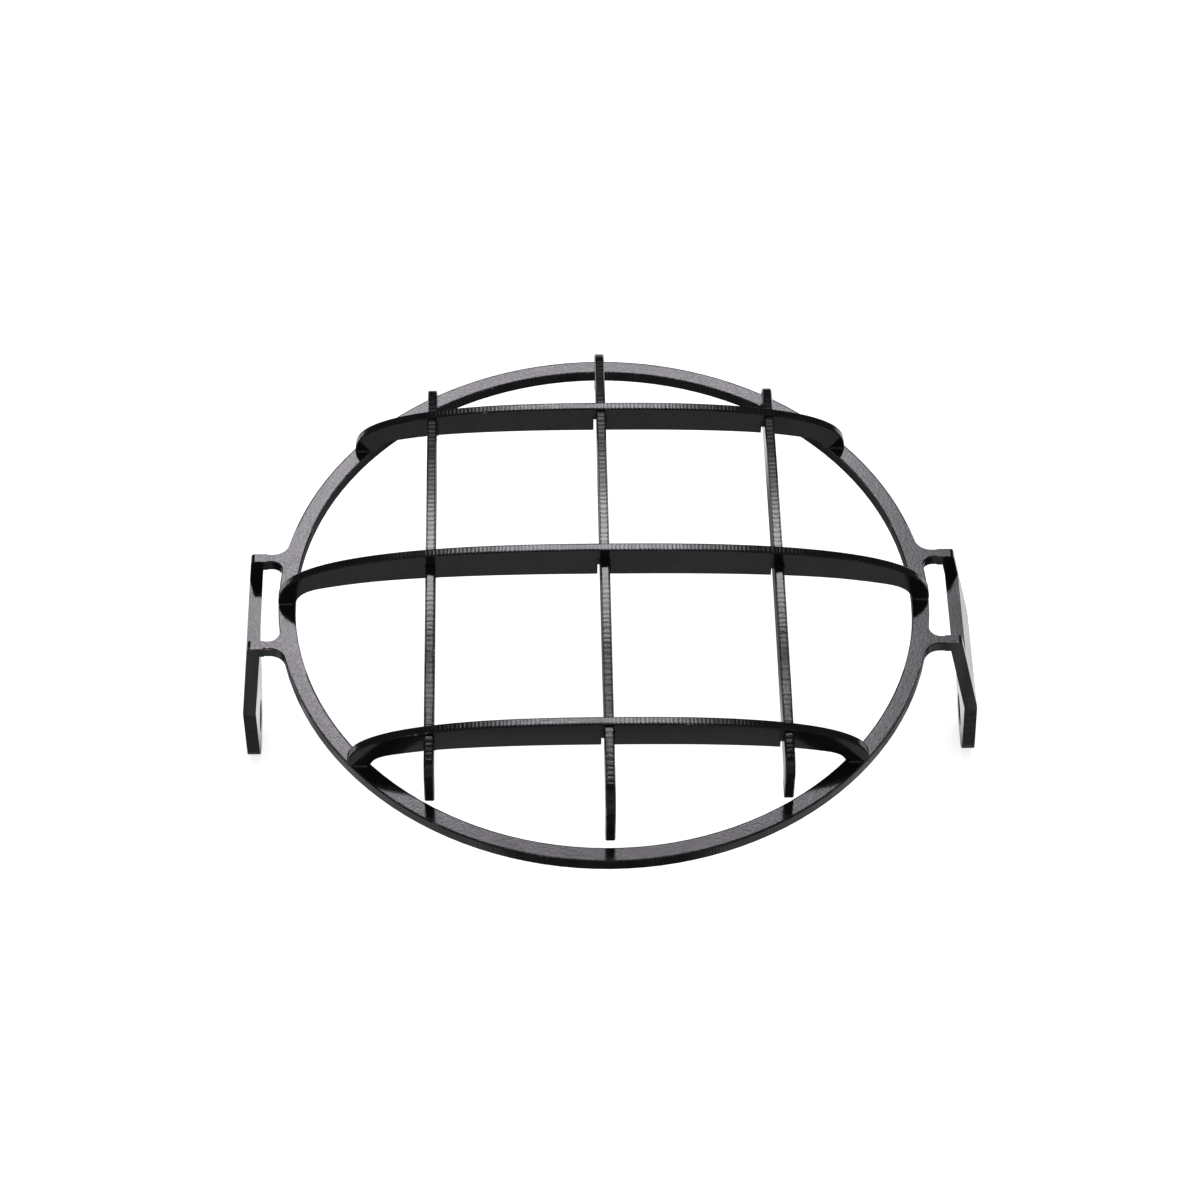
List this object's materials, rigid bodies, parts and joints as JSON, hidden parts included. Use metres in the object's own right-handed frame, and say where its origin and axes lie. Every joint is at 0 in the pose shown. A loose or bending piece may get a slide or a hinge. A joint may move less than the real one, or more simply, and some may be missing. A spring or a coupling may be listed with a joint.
{
  "type": "motorcycle headlight guard",
  "caption": "Round steel grille that bolts in front of a motorcycle headlight by two side ears; arched flat bars cross over an open ring.",
  "frame": {"origin": "on the common axis of the two ear bolt holes, halfway across the ring", "axes": "+Z along the ring's axis towards the front of the grille, +X towards the right ear as seen from the front with +Y up, +Y along the vertical bars"},
  "size_m": [0.2318, 0.2, 0.0937],
  "materials": {
    "powder_coat": "satin black powder coat"
  },
  "bodies": {
    "root": {"base_ring": "powder_coat", "lateral_bar_upper": "powder_coat", "lateral_bar_middle": "powder_coat", "lateral_bar_lower": "powder_coat", "vertical_bar_left": "powder_coat", "vertical_bar_centre": "powder_coat", "vertical_bar_right": "powder_coat"}
  },
  "joints": []
}
